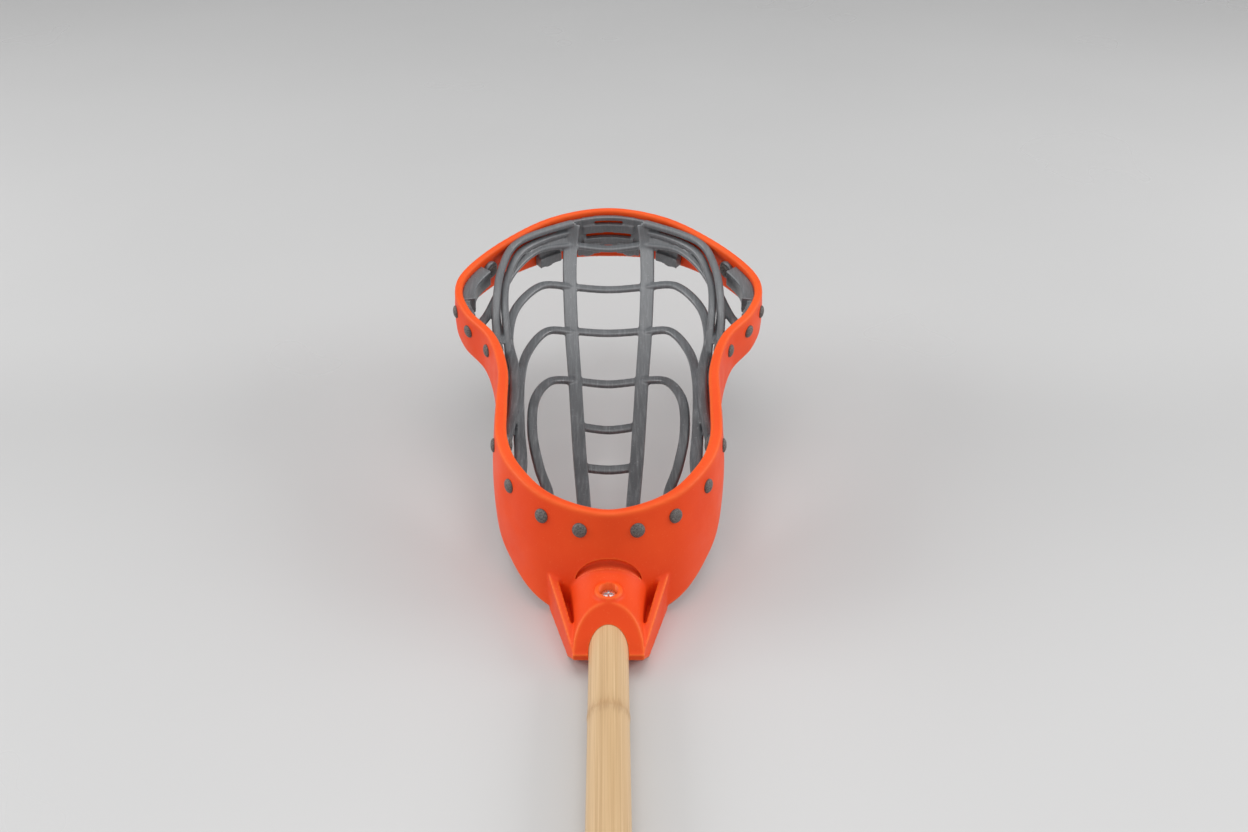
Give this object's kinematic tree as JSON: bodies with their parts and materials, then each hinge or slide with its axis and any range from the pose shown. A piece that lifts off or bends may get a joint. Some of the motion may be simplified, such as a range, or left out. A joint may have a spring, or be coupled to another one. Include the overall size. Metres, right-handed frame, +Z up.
{
  "type": "lacrosse stick",
  "caption": "Lacrosse stick with a moulded head ring, a moulded strip net forming a shallow pocket, and a round bamboo shaft with a rubber butt cap.",
  "frame": {"origin": "middle of the flat face under the throat socket, on the floor the stick lies on", "axes": "+Y along the stick towards the scoop, +Z up out of the open face of the head, +X to the right seen from the butt"},
  "size_m": [0.1962, 1.0556, 0.113],
  "materials": {
    "head_plastic": "fine moulded texture",
    "net_rubber": "moulded, slightly worn",
    "stud_plastic": "fine cast texture",
    "bamboo": "sanded, thin satin lacquer",
    "cap_rubber": "matt",
    "screw_steel": "zinc plated"
  },
  "bodies": {
    "root": {"head_frame": "head_plastic", "net": "net_rubber", "shaft": "bamboo", "butt_cap": "cap_rubber", "socket_screw": "screw_steel", "stud_left_1": "stud_plastic", "stud_left_2": "stud_plastic", "stud_left_3": "stud_plastic", "stud_left_4": "stud_plastic", "stud_left_5": "stud_plastic", "stud_left_6": "stud_plastic", "stud_left_7": "stud_plastic", "stud_left_8": "stud_plastic", "stud_left_9": "stud_plastic", "stud_left_10": "stud_plastic", "stud_right_1": "stud_plastic", "stud_right_2": "stud_plastic", "stud_right_3": "stud_plastic", "stud_right_4": "stud_plastic", "stud_right_5": "stud_plastic", "stud_right_6": "stud_plastic", "stud_right_7": "stud_plastic", "stud_right_8": "stud_plastic", "stud_right_9": "stud_plastic", "stud_right_10": "stud_plastic"}
  },
  "joints": []
}
